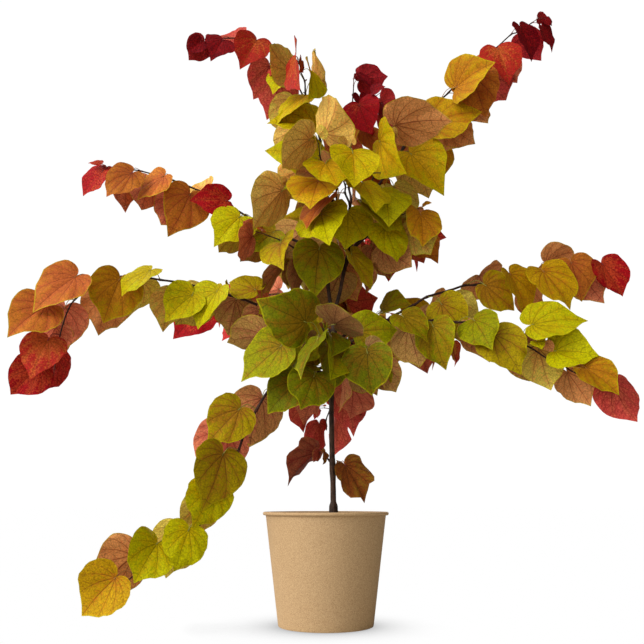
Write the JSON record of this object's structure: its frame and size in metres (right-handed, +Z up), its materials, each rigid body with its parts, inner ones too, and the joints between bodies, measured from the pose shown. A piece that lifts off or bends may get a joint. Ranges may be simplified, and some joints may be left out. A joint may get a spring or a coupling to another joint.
{
  "type": "potted young redbud tree",
  "caption": "Young redbud with a slender trunk, spreading boughs and heart-shaped leaves from green through gold to red, standing in a plain paper nursery pot.",
  "frame": {"origin": "centre of the pot's flat underside", "axes": "+Z up the trunk, +X and -X along the long side boughs, -Y towards the side the plant is shown from"},
  "size_m": [0.9566, 0.5159, 0.9632],
  "materials": {
    "kraft_paper": "matt, fine fleck",
    "potting_mix": "rough crumbs",
    "bark": "matt bark",
    "leaves": "satin, green to gold to red"
  },
  "bodies": {
    "root": {"pot": "kraft_paper", "pottingMix": "potting_mix", "trunk": "bark", "leaderLeft": "bark", "leaderRight": "bark", "boughRight": "bark", "boughLeft": "bark", "boughUpper": "bark", "boughLow": "bark", "foliageRightUpper": "leaves", "foliageRightLower": "leaves", "foliageLeft": "leaves", "foliageLowLeft": "leaves", "foliageUpperLeft": "leaves", "foliageUpRight": "leaves", "foliageTopLeft": "leaves", "foliageTopMiddle": "leaves", "foliageFrontHigh": "leaves", "foliageFrontLow": "leaves", "foliageBackHigh": "leaves", "foliageBackLeft": "leaves", "foliageBackRight": "leaves", "foliageBackLow": "leaves", "spurLeft": "leaves", "spurRight": "leaves", "foliageCrown1": "leaves", "foliageCrown2": "leaves", "foliageCrown3": "leaves", "foliageCrown4": "leaves", "foliageWaist1": "leaves", "foliageWaist2": "leaves", "foliageWaist3": "leaves"}
  },
  "joints": []
}
